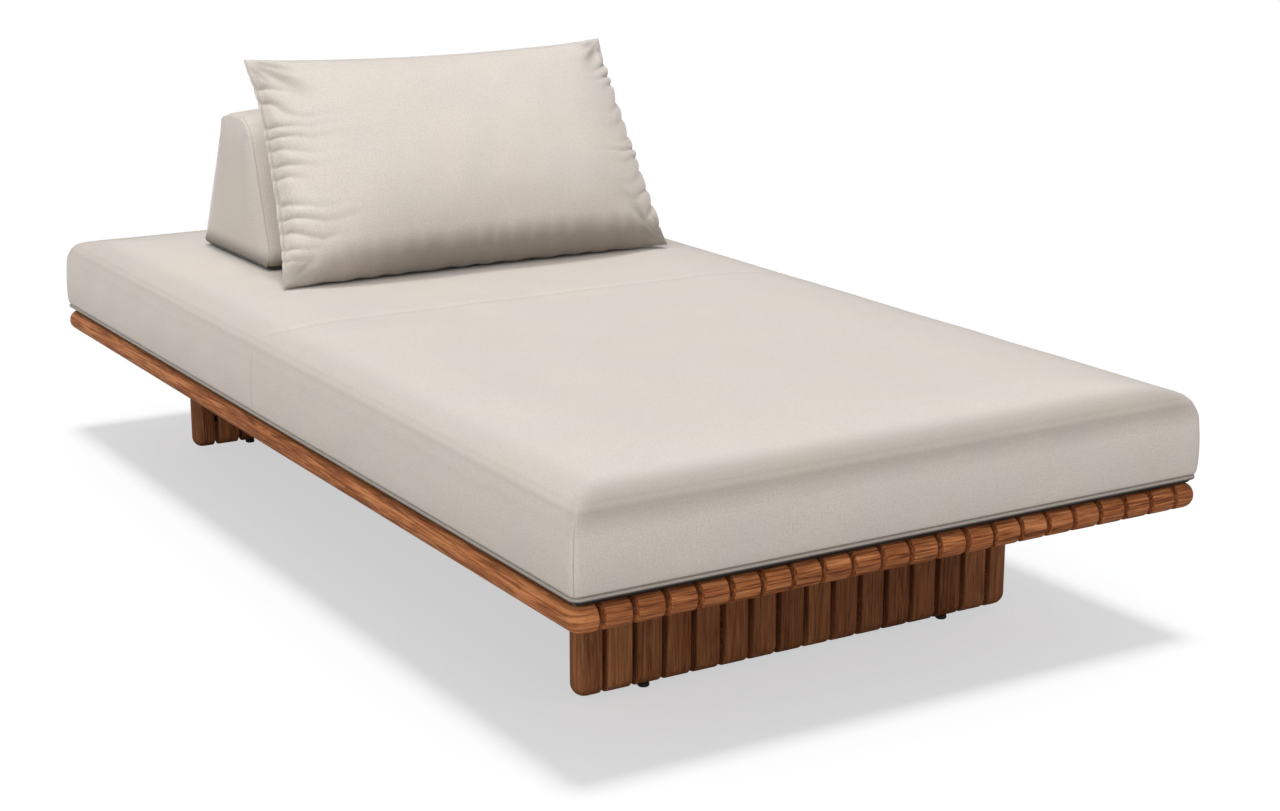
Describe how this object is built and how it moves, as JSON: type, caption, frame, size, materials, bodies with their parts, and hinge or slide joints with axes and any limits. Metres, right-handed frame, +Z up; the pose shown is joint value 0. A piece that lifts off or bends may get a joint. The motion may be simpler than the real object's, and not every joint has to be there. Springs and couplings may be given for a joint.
{
  "type": "sun lounger",
  "caption": "Low teak sun lounger: slatted deck with rounded edges on upright board legs, carrying a full-size mattress, a trapezoid back bolster and a large leaning pillow.",
  "frame": {"origin": "on the floor, under the middle of the deck", "axes": "+Y from the foot end to the head end, +X to the right for someone at the foot end looking at the head end, +Z up"},
  "size_m": [1.0356, 1.985, 0.7524],
  "materials": {
    "deck_teak": "satin",
    "leg_teak": "satin",
    "black_metal": "satin",
    "black_nylon": "matte",
    "brass": "satin",
    "canvas": "matte"
  },
  "bodies": {
    "platform": {"slat_01": "deck_teak", "slat_02": "deck_teak", "slat_03": "deck_teak", "slat_04": "deck_teak", "slat_05": "deck_teak", "slat_06": "deck_teak", "slat_07": "deck_teak", "slat_08": "deck_teak", "slat_09": "deck_teak", "slat_10": "deck_teak", "slat_11": "deck_teak", "slat_12": "deck_teak", "slat_13": "deck_teak", "slat_14": "deck_teak", "slat_15": "deck_teak", "slat_16": "deck_teak", "slat_17": "deck_teak", "slat_18": "deck_teak", "slat_19": "deck_teak", "slat_20": "deck_teak", "slat_21": "deck_teak", "slat_22": "deck_teak", "bearer_foot": "leg_teak", "bearer_mid_foot": "leg_teak", "bearer_mid_head": "leg_teak", "bearer_head": "leg_teak", "foot_leg_panel": "leg_teak", "head_leg_panel": "leg_teak", "foot_leg_angle": "black_metal", "head_leg_angle": "black_metal", "insert_foot_left": "brass", "insert_foot_right": "brass", "insert_head_left": "brass", "insert_head_right": "brass"},
    "mattress": {"mattress": "canvas"},
    "bolster": {"bolster": "canvas"},
    "pillow": {"pillow": "canvas"},
    "glide_foot_left": {"glide_foot_left": "black_nylon"},
    "glide_foot_right": {"glide_foot_right": "black_nylon"},
    "glide_head_left": {"glide_head_left": "black_nylon"},
    "glide_head_right": {"glide_head_right": "black_nylon"}
  },
  "joints": [
    {"name": "mattress_lift", "type": "slide", "parent": "platform", "child": "mattress", "axis": [0, 0, 1], "range_m": [0, 0.3]},
    {"name": "bolster_slide", "type": "slide", "parent": "mattress", "child": "bolster", "axis": [0, 1, 0], "range_m": [-0.45, 0.2]},
    {"name": "pillow_lift", "type": "slide", "parent": "bolster", "child": "pillow", "axis": [0, 0, 1], "range_m": [0, 0.25]},
    {"name": "glide_foot_left_screw", "type": "slide", "parent": "platform", "child": "glide_foot_left", "axis": [0, 0, -1], "range_m": [0, 0.01]},
    {"name": "glide_foot_right_screw", "type": "slide", "parent": "platform", "child": "glide_foot_right", "axis": [0, 0, -1], "range_m": [0, 0.01]},
    {"name": "glide_head_left_screw", "type": "slide", "parent": "platform", "child": "glide_head_left", "axis": [0, 0, -1], "range_m": [0, 0.01]},
    {"name": "glide_head_right_screw", "type": "slide", "parent": "platform", "child": "glide_head_right", "axis": [0, 0, -1], "range_m": [0, 0.01]}
  ]
}
